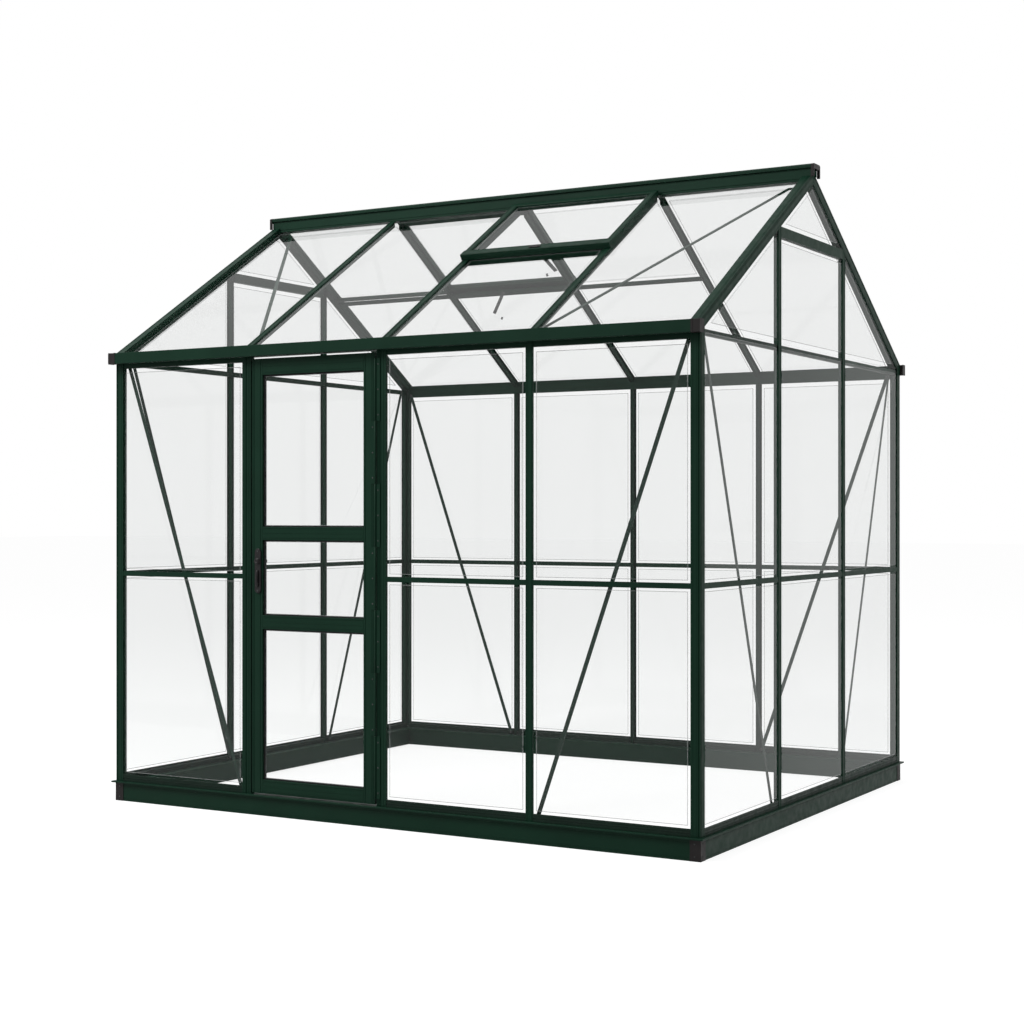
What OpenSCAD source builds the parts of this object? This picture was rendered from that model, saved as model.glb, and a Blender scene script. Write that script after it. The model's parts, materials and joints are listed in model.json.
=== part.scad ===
// Apex-roofed greenhouse: aluminium frame with clear polycarbonate panes.
// Four bays long, three bays wide, one hinged door in the second front bay.
// X runs along the front, Y runs to the back and Z is up. The origin is on the
// ground under the middle of the base. All sizes are in millimetres.

/* [Plan] */
// Spacing of the uprights along the front and back walls
front_pitch = 620; // [600:5:660]
// Spacing of the uprights across each gable
gable_pitch = 678; // [620:2:720]
// Outer face of a corner post beyond the last pitch line
corner_reach = 23; // [22:1:24]

/* [Heights] */
// Height of the base profile
base_h = 78; // [70:1:90]
// Underside of the rail that joins the lower and upper panes
mid_rail_z = 891; // [800:1:980]
// Underside of the eave beams
eave_z = 1712; // [1690:1:1730]
// Top of the gable rafters at the outer face of the long walls
rafter_foot_z = 1774; // [1774:1:1780]
// Slope of the roof in degrees
roof_pitch = 32; // [30:0.5:34]

/* [Frame profiles] */
// Width of the outer flange of a stud or a rafter
flange_w = 28; // [24:1:32]
// Thickness of that flange
flange_t = 3; // [2:0.5:3]
// Width of the web behind the flange
web_w = 14; // [10:1:18]
// Depth of a stud from its outer face to its inner face
stud_d = 22; // [20:1:26]
// Width of each face of a corner post
post_w = 36; // [34:1:40]
// Depth of the base profile
base_w = 62; // [56:1:70]
// How far the top lip of the base stands out
base_lip = 14; // [10:1:18]
// Thickness of the clear panes
pane_t = 4; // [4:1:4]

/* [Door] */
// Width of the door leaf
door_w = 561; // [540:1:561]
// Thickness of the door leaf
door_t = 26; // [22:1:28]
// Width of the upright members of the door
stile_w = 50; // [44:1:56]
// Height of the door above the ground at its lower edge
door_z = 84; // [84:1:90]
// Top of the door leaf
door_top = 1722; // [1700:1:1722]

/* [Roof details] */
// Length of a roof vent measured down the slope
vent_len = 498; // [440:2:520]
// Depth of the gutter, front to back
gutter_d = 32; // [28:1:36]
// Height of the gutter
gutter_h = 43; // [40:1:46]

/* [Hidden] */

$fn = 48;
green = "#1e3428";
dark_green = "#16281e";
clear_sheet = [0.85, 0.9, 0.88, 0.35];
black = "#1a1a1a";

// Outer faces of the walls, and the inner faces of their uprights
half_x = 2 * front_pitch + corner_reach;
half_y = 1.5 * gable_pitch + corner_reach;
inner_x = half_x - stud_d;
inner_y = half_y - stud_d;
// Where the pane slots in the corner posts begin
post_x = half_x - post_w;
post_y = half_y - post_w;

// Wall section, measured inwards from the outer face of a wall
pane_outer = flange_t;
pane_inner = flange_t + pane_t;
slot_t = pane_t + 0.5;
slot_d = 8;
pane_gap = 2;

// Sill under the panes and the rail between them
sill_h = 20;
sill_lip_h = 28;
sill_lip_t = 2;
mid_rail_h = 19;
mid_web_z = mid_rail_z + 8;
mid_web_h = 3;

// Roof section, measured down from the top of the gable rafters
apex_z = rafter_foot_z + half_y * tan(roof_pitch);
gable_rafter_d = 38;
rafter_top = -14;
rafter_flange = rafter_top - flange_t;
pane_under = rafter_flange - pane_t;
beam_top = pane_under - 0.2;
rafter_d = 24;
rafter_under = rafter_top - rafter_d;
slope_drop = 1 / cos(roof_pitch);
slope_len = (half_y + 10) / cos(roof_pitch) + 12;

// Eave and ridge
gutter_z = eave_z + 17;
gutter_t = 2;
gutter_back_h = 11;
cap_len = 34;
gutter_half = half_x + base_lip - cap_len - 1;
ridge_web = 26;
ridge_cap = 34;
ridge_cap_z = apex_z + 13;
ridge_cap_h = 16;
ridge_wall = 2.5;
ridge_under = apex_z - 35;
ridge_over = 3;

// Roof vents, measured down the slope
vent_start = 42;
vent_end = vent_start + vent_len;
vent_over = 16;
vent_bar = 26;
vent_foot = 40;
vent_top = 8;
vent_foot_top = 11;
crossbar_w = 24;
crossbar_start = vent_end - 18;
lower_pane_start = crossbar_start + 4;

// Door opening: inner edges of the two jambs
jamb_right_x = -14;
door_gap = 8;
door_right = jamb_right_x - door_gap;
door_left = door_right - door_w;
jamb_left_x = door_left - 6;
jamb_w = 41;
hinge_r = 4;
hinge_x = door_right + 4;
hinge_y = -half_y - 3;
strap_t = 2;
strap_w = 20;
knuckles = 7;
knuckle_gap = 1;
// Door rails: underside and height of each
door_rails_z = [door_z, 703, 1038, 1660];
door_rails_h = [52, 52, 50, door_top - 1660];
door_pane_t = 4;

big = 6000;

// ---------- helpers ----------

// Children drawn for the back wall appear on the front wall
module front_side() {
  mirror([0, 1, 0]) children();
}

// Children drawn with +Y pointing out of a wall appear on a gable
module right_side() {
  rotate([0, 0, -90]) children();
}
module left_side() {
  rotate([0, 0, 90]) children();
}

// Local Y runs down the back slope and local Z points out of it
module back_slope() {
  translate([0, 0, apex_z]) rotate([-roof_pitch, 0, 0]) children();
}
module front_slope() {
  mirror([0, 1, 0]) back_slope() children();
}

// A bar along X whose section is drawn as [y, z] points
module bar_x(x0, x1, section) {
  translate([x0, 0, 0]) rotate([90, 0, 90]) linear_extrude(x1 - x0) polygon(section);
}

// A box between two opposite corners
module box(a, b) {
  translate(a) cube(b - a);
}

// The children below the gable rafters, for the side where sy is 1 or -1
module under_gable_rafter(sy) {
  difference() {
    children();
    scale([1, sy, 1]) back_slope() box([-big, -big, -gable_rafter_d], [big, big, big]);
  }
}

// Height of a plane parallel to the roof, t above the rafter tops, at distance y
function roof_z(y, t) = apex_z - y * tan(roof_pitch) + t * slope_drop;

// Prism under the gable rafters, drawn with its outer face on y = y1
module gable_prism(y0, y1) {
  foot = roof_z(half_y, -gable_rafter_d);
  translate([0, y1, 0]) rotate([90, 0, 0]) linear_extrude(y1 - y0) polygon([
    [-half_y, 0], [half_y, 0], [half_y, foot], [0, roof_z(0, -gable_rafter_d)], [-half_y, foot]
  ]);
}

// Long-wall bays: left and right pitch lines of bay b (0 to 3)
function bay_left(b) = (b - 2) * front_pitch;
function bay_right(b) = (b - 1) * front_pitch;

// ---------- base ----------

// Hollow base profile along X with its outer face on y = reach, mitred ends
module base_profile(reach, half_len) {
  far = half_len + base_lip;
  wall = 2.5;
  lip_z = base_h - 6;
  difference() {
    bar_x(-far, far, [
      [reach - base_w, 0], [reach, 0], [reach, lip_z],
      [reach + base_lip, lip_z], [reach + base_lip, base_h], [reach - base_w, base_h]
    ]);
    box([-big, reach - base_w + wall, wall], [big, reach - wall, base_h - wall]);
    for (sx = [-1, 1])
      translate([sx * half_len, reach, 0]) rotate([0, 0, sx * -45])
        box([min(0, sx * big), -big, -1], [max(0, sx * big), big, base_h + 1]);
  }
}

module base_front() {
  color(green) front_side() base_profile(half_y, half_x);
}
module base_back() {
  color(green) base_profile(half_y, half_x);
}
module base_left() {
  color(green) left_side() base_profile(half_x, half_y);
}
module base_right() {
  color(green) right_side() base_profile(half_x, half_y);
}

// Plastic angles that cover the mitred corners under the lip
module base_corner_covers() {
  leg = 40;
  t = 2;
  color(black)
    for (sx = [-1, 1], sy = [-1, 1])
      scale([sx, sy, 1])
        difference() {
          box([half_x + t - leg, half_y + t - leg, 0], [half_x + t, half_y + t, base_h - 6]);
          box([0, 0, -1], [half_x, half_y, base_h]);
        }
}

// ---------- walls ----------

// One length of sill between x0 and x1 on a wall whose outer face is y = reach
module sill(x0, x1, reach) {
  outer = reach - flange_t + sill_lip_t;
  bar_x(x0, x1, [
    [reach - stud_d, base_h], [outer, base_h], [outer, base_h + sill_lip_h],
    [reach - flange_t, base_h + sill_lip_h], [reach - flange_t, base_h + sill_h],
    [reach - stud_d, base_h + sill_h]
  ]);
}

// Sills in the end bays and the middle bay of a gable
module gable_sills() {
  edge = gable_pitch / 2;
  sill(-post_y, -edge - flange_w / 2, half_x);
  sill(-edge + flange_w / 2, edge - flange_w / 2, half_x);
  sill(edge + flange_w / 2, post_y, half_x);
}

module wall_sills() {
  color(dark_green) {
    front_side() {
      sill(-post_x, jamb_left_x - jamb_w, half_y);
      sill(jamb_right_x + jamb_w, front_pitch - flange_w / 2, half_y);
      sill(front_pitch + flange_w / 2, post_x, half_y);
    }
    for (b = [0:3])
      sill(max(bay_left(b) + flange_w / 2, -post_x), min(bay_right(b) - flange_w / 2, post_x), half_y);
    left_side() gable_sills();
    right_side() gable_sills();
  }
}

// Corner post: an angle with a slot for a pane in the end of each leg
module corner_post() {
  translate([half_x, half_y, base_h]) linear_extrude(rafter_foot_z + 60 - base_h) polygon([
    [0, 0], [-post_w, 0], [-post_w, -flange_t], [slot_d - post_w, -flange_t],
    [slot_d - post_w, -flange_t - slot_t], [-post_w, -flange_t - slot_t],
    [-post_w, -stud_d], [-stud_d, -stud_d], [-stud_d, -post_w],
    [-flange_t - slot_t, -post_w], [-flange_t - slot_t, slot_d - post_w],
    [-flange_t, slot_d - post_w], [-flange_t, -post_w], [0, -post_w]
  ]);
}

module back_corner_posts() {
  color(green)
    for (sx = [-1, 1])
      under_gable_rafter(1) scale([sx, 1, 1]) corner_post();
}
module front_corner_posts() {
  front_side() back_corner_posts();
}

// Stud with its outer face on y = reach: the flange runs up to flange_top
module stud(x, reach, web_top, flange_top) {
  translate([x, 0, 0]) {
    box([-web_w / 2, reach - stud_d, base_h], [web_w / 2, reach - flange_t, web_top]);
    box([-flange_w / 2, reach - flange_t, base_h], [flange_w / 2, reach, flange_top]);
  }
}

module front_stud() {
  color(green) front_side() union() stud(front_pitch, half_y, eave_z, gutter_z);
}
module back_studs() {
  color(green)
    for (i = [-1:1])
      union() stud(i * front_pitch, half_y, eave_z, gutter_z);
}

// The two studs of one gable, cut to the slope of the rafters
module gable_stud_pair() {
  for (side = [-1, 1])
    intersection() {
      stud(side * gable_pitch / 2, half_x, apex_z, apex_z);
      gable_prism(inner_x, half_x);
    }
}
module gable_studs() {
  color(green) {
    left_side() gable_stud_pair();
    right_side() gable_stud_pair();
  }
}

// Door jambs: the pane side of each has a flange over the pane edge
module jamb(x0, x1, pane_side) {
  step = flange_w / 2 - web_w / 2;
  web0 = pane_side < 0 ? x0 + step : x0;
  web1 = pane_side > 0 ? x1 - step : x1;
  union() {
    box([web0, half_y - stud_d, base_h], [web1, half_y - flange_t, eave_z]);
    box([x0, half_y - flange_t, base_h], [x1, half_y, gutter_z]);
  }
}
module door_jamb_left() {
  color(green) front_side() jamb(jamb_left_x - jamb_w, jamb_left_x, -1);
}
module door_jamb_right() {
  color(green) front_side() jamb(jamb_right_x, jamb_right_x + jamb_w, 1);
}

// H-section rail between x0 and x1 that joins a lower and an upper pane
module mid_rail(x0, x1, reach) {
  out = reach - flange_t + 2;
  face = reach - pane_outer;
  back = reach - pane_inner;
  in = back - 3;
  top = mid_rail_z + mid_rail_h;
  bar_x(x0, x1, [
    [out, mid_rail_z], [out, top], [face, top], [face, mid_web_z + mid_web_h],
    [back, mid_web_z + mid_web_h], [back, top], [in, top], [in, mid_rail_z],
    [back, mid_rail_z], [back, mid_web_z], [face, mid_web_z], [face, mid_rail_z]
  ]);
}

module gable_mid_rails() {
  edge = gable_pitch / 2;
  mid_rail(-post_y, -edge - flange_w / 2, half_x);
  mid_rail(-edge + flange_w / 2, edge - flange_w / 2, half_x);
  mid_rail(edge + flange_w / 2, post_y, half_x);
}

module mid_rails() {
  color(green) {
    front_side() {
      mid_rail(-post_x, jamb_left_x - jamb_w, half_y);
      mid_rail(jamb_right_x + jamb_w, front_pitch - flange_w / 2, half_y);
      mid_rail(front_pitch + flange_w / 2, post_x, half_y);
    }
    for (b = [0:3])
      mid_rail(max(bay_left(b) + flange_w / 2, -post_x), min(bay_right(b) - flange_w / 2, post_x), half_y);
    left_side() gable_mid_rails();
    right_side() gable_mid_rails();
  }
}

// Flat bar with rounded ends in the XY plane, between the points a and b
module flat_bar(a, b) {
  w = 15;
  t = 3;
  run = b - a;
  len = norm(run);
  translate(a) rotate([0, 0, atan2(run[1], run[0])]) union() {
    cylinder(d = w, h = t);
    translate([0, -w / 2, 0]) cube([len, w, t]);
    translate([len, 0, 0]) cylinder(d = w, h = t);
  }
}

// A flat brace inside a long wall, from the eave beam down to the sill
module long_brace(foot_x) {
  top = [post_x - 12, eave_z + 10];
  foot = [foot_x, base_h + 14];
  translate([0, inner_y, 0]) rotate([90, 0, 0]) flat_bar(top, foot);
}
// The two braces of a gable, from the eave bar down to the sill
module gable_brace_pair() {
  top = [post_y - 38, eave_z + 24];
  foot = [gable_pitch / 2 + 23, base_h + 14];
  for (side = [-1, 1])
    scale([side, 1, 1]) translate([0, inner_x, 0]) rotate([90, 0, 0]) flat_bar(top, foot);
}

module wall_braces() {
  stud_foot = front_pitch + 22;
  color(green) {
    front_side() mirror([1, 0, 0]) long_brace(jamb_w - jamb_left_x + 20);
    front_side() long_brace(stud_foot);
    mirror([1, 0, 0]) long_brace(stud_foot);
    long_brace(stud_foot);
    left_side() gable_brace_pair();
    right_side() gable_brace_pair();
  }
}

// ---------- eaves ----------

module eave_beam() {
  bar_x(-post_x, post_x, [
    [inner_y, eave_z], [half_y - flange_t, eave_z], [half_y - flange_t, gutter_z],
    [half_y, gutter_z], [half_y, roof_z(half_y, beam_top)], [inner_y, roof_z(inner_y, beam_top)]
  ]);
}
module back_eave_beam() {
  color(green) eave_beam();
}
// The front beam is notched over the door
module front_eave_beam() {
  color(green) front_side() difference() {
    eave_beam();
    box([jamb_left_x, 0, 0], [jamb_right_x, big, gutter_z]);
  }
}

// Open gutter with its back wall against the eave beam
module gutter() {
  y0 = half_y;
  y1 = half_y + gutter_d;
  bar_x(-gutter_half, gutter_half, [
    [y0, gutter_z], [y1, gutter_z], [y1, gutter_z + gutter_h], [y1 - gutter_t, gutter_z + gutter_h],
    [y1 - gutter_t, gutter_z + gutter_t], [y0 + gutter_t, gutter_z + gutter_t],
    [y0 + gutter_t, gutter_z + gutter_back_h], [y0, gutter_z + gutter_back_h]
  ]);
}
module front_gutter() {
  color(green) front_side() gutter();
}
module back_gutter() {
  color(green) gutter();
}
// Plastic stop ends on the four ends of the gutters
module gutter_end_caps() {
  color(black)
    for (sx = [-1, 1], sy = [-1, 1])
      scale([sx, sy, 1])
        box([gutter_half, half_y, gutter_z - 1],
            [gutter_half + cap_len, half_y + gutter_d + 1, gutter_z + gutter_h + 1]);
}

// ---------- roof ----------

module ridge_beam() {
  end = half_x + ridge_over;
  shoulder = apex_z - ridge_web * tan(roof_pitch);
  top = ridge_cap_z + ridge_cap_h;
  color(green) difference() {
    union() {
      bar_x(-post_x, post_x, [
        [-ridge_web, ridge_under], [ridge_web, ridge_under],
        [ridge_web, ridge_cap_z], [-ridge_web, ridge_cap_z]
      ]);
      bar_x(-end, end, [
        [-ridge_web, shoulder], [0, apex_z], [ridge_web, shoulder], [ridge_web, ridge_cap_z],
        [ridge_cap, ridge_cap_z], [ridge_cap, top - 5], [ridge_cap - 8, top],
        [8 - ridge_cap, top], [-ridge_cap, top - 5], [-ridge_cap, ridge_cap_z],
        [-ridge_web, ridge_cap_z]
      ]);
    }
    box([-post_x - 1, ridge_wall - ridge_web, ridge_under + ridge_wall],
        [post_x + 1, ridge_web - ridge_wall, shoulder]);
  }
}
// Plastic stop ends on the ridge, each with a small drip edge
module ridge_end_caps() {
  x0 = half_x + ridge_over;
  top = ridge_cap_z + ridge_cap_h;
  color(black)
    for (s = [-1, 1])
      scale([s, 1, 1])
        bar_x(x0, x0 + 11, [
          [-36, top - 50], [-28, top - 50], [-28, top - 20], [28, top - 20],
          [28, top - 50], [36, top - 50], [36, top - 4], [28, top], [-28, top], [-36, top - 4]
        ]);
}

// Box-section rafter at a gable, mitred at the apex and cut plumb at its foot
module gable_rafter() {
  joint = 0.3;
  bar_x(post_x, half_x, [
    [joint, roof_z(joint, 0)], [half_y, rafter_foot_z],
    [half_y, roof_z(half_y, -gable_rafter_d)], [joint, roof_z(joint, -gable_rafter_d)]
  ]);
}
module right_gable_rafters() {
  color(green) {
    gable_rafter();
    front_side() gable_rafter();
  }
}
module left_gable_rafters() {
  mirror([1, 0, 0]) right_gable_rafters();
}

// T-section rafter on pitch line x, from the ridge beam down into the gutter
module rafter(x) {
  difference() {
    union() {
      back_slope() box([x - flange_w / 2, 0, rafter_flange], [x + flange_w / 2, slope_len, rafter_top]);
      intersection() {
        back_slope() box([x - web_w / 2, 0, rafter_under], [x + web_w / 2, slope_len, rafter_flange]);
        box([-big, -big, 0], [big, inner_y, big]);
      }
    }
    box([-big, -big, 0], [big, ridge_web, big]);
  }
}
module back_rafters() {
  color(green)
    for (i = [-1:1])
      rafter(i * front_pitch);
}
module front_rafters() {
  front_side() back_rafters();
}

// Bar across each gable at the eaves, behind the panes
module gable_eave_bars() {
  h = 20;
  z0 = eave_z + 14;
  x0 = gable_pitch / 2 + web_w / 2;
  spans = [[-post_y, -x0], [-gable_pitch / 2 + web_w / 2, gable_pitch / 2 - web_w / 2], [x0, post_y]];
  color(green)
    for (a = [-90, 90], s = spans)
      rotate([0, 0, a])
        box([s[0], inner_x, z0], [s[1], half_x - pane_inner, z0 + h]);
}

// Bar that joins the tops of the two studs of a gable
gable_bar_h = 38;
function gable_bar_top() = roof_z(gable_pitch / 2 - flange_w / 2, -gable_rafter_d) - 2;
module gable_top_bars() {
  half = gable_pitch / 2 - flange_w / 2;
  top = gable_bar_top();
  color(green)
    for (a = [-90, 90])
      rotate([0, 0, a])
        box([-half, inner_x, top - gable_bar_h], [half, half_x, top]);
}

// Cross bars between rafters on one slope, from x0 to x1 at distance s
module crossbar(x0, x1, s, w) {
  back_slope() box([x0 + web_w / 2, s, rafter_under + 2], [x1 - web_w / 2, s + w, pane_under]);
}
module roof_crossbars() {
  strip = 12;
  color(green) {
    crossbar(-front_pitch, 0, crossbar_start, crossbar_w);
    front_side() crossbar(0, front_pitch, crossbar_start, crossbar_w);
    crossbar(0, front_pitch, crossbar_start + 8, strip);
    crossbar(-post_x - web_w / 2, -front_pitch, crossbar_start + 8, strip);
    crossbar(-post_x - web_w / 2, -front_pitch, crossbar_start - 24, strip);
  }
}

// Flat braces under the front slope, from the tops of the gable rafters to the second rafters
module roof_braces() {
  top = [post_x - 55, 46];
  foot = [front_pitch + 2, 1150];
  tab_w = 16;
  tab_t = 3;
  color(green)
    for (side = [-1, 1])
      scale([side, 1, 1]) front_slope() translate([0, 0, rafter_under - tab_t]) union() {
        flat_bar(top, foot);
        box([top[0], top[1] - tab_w / 2, 0], [post_x + 8, top[1] + tab_w / 2, tab_t]);
      }
}

// ---------- panes ----------

// One flat pane in a wall, between x0 and x1 and between z0 and z1
module pane(x0, x1, z0, z1, reach) {
  box([x0, reach - pane_inner, z0], [x1, reach - pane_outer, z1]);
}

// A lower and an upper pane, above and below the mid rail
module pane_pair(x0, x1, top, reach) {
  pane(x0, x1, base_h + sill_h, mid_web_z, reach);
  pane(x0, x1, mid_web_z + mid_web_h, top, reach);
}

module back_wall_glazing() {
  edge = web_w / 2 + pane_gap;
  outer = post_x + slot_d - pane_gap;
  color(clear_sheet)
    for (b = [0:3])
      pane_pair(max(bay_left(b) + edge, -outer), min(bay_right(b) - edge, outer), eave_z, half_y);
}
module front_wall_glazing() {
  edge = web_w / 2 + pane_gap;
  outer = post_x + slot_d - pane_gap;
  step = flange_w / 2 - web_w / 2;
  color(clear_sheet) front_side() {
    pane_pair(-outer, jamb_left_x - jamb_w + step - pane_gap, eave_z, half_y);
    pane_pair(jamb_right_x + jamb_w - step + pane_gap, front_pitch - edge, eave_z, half_y);
    pane_pair(front_pitch + edge, outer, eave_z, half_y);
  }
}

// Panes of one gable, drawn with its outer face on y = half_x
module gable_panes() {
  edge = web_w / 2 + pane_gap;
  mid = gable_pitch / 2;
  outer = post_y + slot_d - pane_gap;
  joint = eave_z + 40;
  bar_top = gable_bar_top();
  intersection() {
    gable_prism(half_x - pane_inner, half_x - pane_outer);
    union() {
      pane_pair(-mid + edge, mid - edge, joint - 1, half_x);
      pane(-mid + edge, mid - edge, joint, bar_top - gable_bar_h, half_x);
      pane(-mid, mid, bar_top, apex_z, half_x);
      for (side = [-1, 1])
        scale([side, 1, 1]) {
          pane_pair(mid + edge, outer, joint - 1, half_x);
          pane(mid + edge, half_y, joint, apex_z, half_x);
        }
    }
  }
}
module left_gable_glazing() {
  color(clear_sheet) left_side() gable_panes();
}
module right_gable_glazing() {
  color(clear_sheet) right_side() gable_panes();
}

// A roof pane between x0 and x1, from s0 to the gutter or to s1
module roof_pane(x0, x1, s0, s1) {
  difference() {
    back_slope() box([x0, s0, pane_under], [x1, s1, rafter_flange]);
    box([-big, -big, 0], [big, ridge_web + 1, big]);
  }
}
function roof_left(b) = max(bay_left(b) + web_w / 2 + pane_gap, -post_x);
function roof_right(b) = min(bay_right(b) - web_w / 2 - pane_gap, post_x);

module back_roof_glazing() {
  joint = crossbar_start + 10;
  color(clear_sheet) {
    roof_pane(roof_left(0), roof_right(0), 0, joint);
    roof_pane(roof_left(0), roof_right(0), joint + 1, slope_len);
    roof_pane(roof_left(1), roof_right(1), lower_pane_start, slope_len);
    roof_pane(roof_left(2), roof_right(2), 0, joint);
    roof_pane(roof_left(2), roof_right(2), joint + 1, slope_len);
    roof_pane(roof_left(3), roof_right(3), 0, slope_len);
  }
}
module front_roof_glazing() {
  color(clear_sheet) front_side() {
    for (b = [0, 1, 3])
      roof_pane(roof_left(b), roof_right(b), 0, slope_len);
    roof_pane(roof_left(2), roof_right(2), lower_pane_start, slope_len);
  }
}

// ---------- roof vents ----------

// Places children on both vents: the front one over the third bay, and the
// back one over the second bay
module each_vent() {
  front_slope() children();
  rotate([0, 0, 180]) front_slope() children();
}
vent_left = -vent_over;
vent_right = front_pitch + vent_over;

// Upper and lower bars of the vent frames
module roof_vent_end_bars() {
  color(green) each_vent() {
    box([vent_left, vent_start, rafter_top], [vent_right, vent_start + vent_bar, vent_top]);
    box([vent_left, vent_end - vent_foot, rafter_top], [vent_right, vent_end, vent_foot_top]);
  }
}
// Side bars of the vent frames, which lie on the rafters
module roof_vent_side_bars() {
  color(green) each_vent()
    for (x = [vent_left, vent_right - vent_bar])
      box([x, vent_start + vent_bar, rafter_top], [x + vent_bar, vent_end - vent_foot, vent_top]);
}
module roof_vent_glazing() {
  color(clear_sheet) each_vent()
    box([vent_left + vent_bar, vent_start + vent_bar, -2],
        [vent_right - vent_bar, vent_end - vent_foot, pane_t - 2]);
}

// A flat stay arm under each crossbar, and the peg on the pane that it hooks to
module roof_vent_stays() {
  start = [front_pitch / 2 + 35, crossbar_start + 10];
  end = start + [100, 118];
  color(black) each_vent() {
    translate([0, 0, rafter_under - 1]) flat_bar(start, end);
    translate([end[0], end[1] + 66, pane_under - 8]) cylinder(d = 10, h = 8);
  }
}

// ---------- door ----------

// Heights of the hinge knuckles, numbered from the bottom
knuckle_z0 = door_z + 20;
knuckle_h = (door_top - door_z - 40) / knuckles;

module knuckle(i, dir) {
  z = knuckle_z0 + i * knuckle_h;
  h = knuckle_h - knuckle_gap;
  union() {
    translate([hinge_x, hinge_y, z]) cylinder(r = hinge_r, h = h);
    box([min(hinge_x, hinge_x + dir * strap_w), -half_y - strap_t, z],
        [max(hinge_x, hinge_x + dir * strap_w), -half_y, z + h]);
  }
}
module jamb_hinge_knuckles() {
  color(green)
    for (i = [0:2:knuckles - 1])
      knuckle(i, 1);
}
module door_hinge_knuckles() {
  color(green)
    for (i = [1:2:knuckles - 1])
      knuckle(i, -1);
}

module door_stiles() {
  color(green)
    for (x = [door_left, door_right - stile_w])
      box([x, -half_y, door_z], [x + stile_w, door_t - half_y, door_top]);
}
module door_rails() {
  color(green)
    for (i = [0:3])
      box([door_left + stile_w, -half_y, door_rails_z[i]],
          [door_right - stile_w, door_t - half_y, door_rails_z[i] + door_rails_h[i]]);
}
module door_glazing() {
  y0 = door_t / 2 - half_y - door_pane_t / 2;
  color(clear_sheet)
    for (i = [0:2])
      box([door_left + stile_w, y0, door_rails_z[i] + door_rails_h[i]],
          [door_right - stile_w, y0 + door_pane_t, door_rails_z[i + 1]]);
}

// Rounded plate with a turning knob and a grip, outside and inside the door
module handle_side() {
  w = 28;
  h = 168;
  plate_t = 6;
  z0 = 838;
  x = door_left + 31;
  translate([x, 0, z0]) rotate([90, 0, 0]) union() {
    translate([0, w / 2, 0]) cylinder(d = w, h = plate_t);
    translate([-w / 2, w / 2, 0]) cube([w, h - w, plate_t]);
    translate([0, h - w / 2, 0]) cylinder(d = w, h = plate_t);
    translate([0, h - 48, 0]) cylinder(d = 24, h = 12);
    translate([0, h - 48, 12]) cylinder(d = 20, h = 4);
    translate([-8, 20, 0]) cube([16, 70, 16]);
  }
}
module door_handle() {
  color(black) {
    translate([0, -half_y, 0]) handle_side();
    translate([0, door_t - half_y, 0]) mirror([0, 1, 0]) handle_side();
  }
}

base_front();
base_back();
base_left();
base_right();
base_corner_covers();
wall_sills();
front_corner_posts();
back_corner_posts();
door_jamb_left();
door_jamb_right();
front_stud();
back_studs();
gable_studs();
front_eave_beam();
back_eave_beam();
front_gutter();
back_gutter();
gutter_end_caps();
ridge_beam();
ridge_end_caps();
left_gable_rafters();
right_gable_rafters();
front_rafters();
back_rafters();
gable_eave_bars();
gable_top_bars();
mid_rails();
wall_braces();
roof_braces();
roof_crossbars();
front_wall_glazing();
back_wall_glazing();
left_gable_glazing();
right_gable_glazing();
front_roof_glazing();
back_roof_glazing();
roof_vent_end_bars();
roof_vent_side_bars();
roof_vent_glazing();
roof_vent_stays();
jamb_hinge_knuckles();
door_hinge_knuckles();
door_stiles();
door_rails();
door_glazing();
door_handle();
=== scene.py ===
"""Greenhouse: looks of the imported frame, the studio round it and the camera."""

import json
import math

import bmesh
import bpy
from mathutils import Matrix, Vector
from mathutils.geometry import convex_hull_2d

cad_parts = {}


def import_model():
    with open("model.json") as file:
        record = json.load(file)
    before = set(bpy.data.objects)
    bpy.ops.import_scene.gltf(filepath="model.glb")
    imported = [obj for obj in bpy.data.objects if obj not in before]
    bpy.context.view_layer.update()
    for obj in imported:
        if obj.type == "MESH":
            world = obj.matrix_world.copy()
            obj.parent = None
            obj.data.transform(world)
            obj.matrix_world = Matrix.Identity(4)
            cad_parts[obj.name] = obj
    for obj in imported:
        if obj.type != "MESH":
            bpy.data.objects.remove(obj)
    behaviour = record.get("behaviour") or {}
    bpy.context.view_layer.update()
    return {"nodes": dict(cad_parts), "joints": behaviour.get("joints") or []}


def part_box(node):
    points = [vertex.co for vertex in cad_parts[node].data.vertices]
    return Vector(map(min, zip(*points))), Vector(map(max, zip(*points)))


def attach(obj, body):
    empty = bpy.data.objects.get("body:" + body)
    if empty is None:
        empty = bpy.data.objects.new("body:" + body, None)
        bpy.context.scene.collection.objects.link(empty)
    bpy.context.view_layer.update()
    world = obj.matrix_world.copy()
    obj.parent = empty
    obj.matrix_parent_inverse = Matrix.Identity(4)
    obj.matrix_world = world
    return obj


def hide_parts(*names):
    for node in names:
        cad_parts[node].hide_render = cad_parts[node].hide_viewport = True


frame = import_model()
NODES = frame["nodes"]
scene = bpy.context.scene
MM = 0.001


# ---------- sizes, read from the frame ----------

def low(node):
    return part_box(node)[0]


def high(node):
    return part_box(node)[1]


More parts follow.
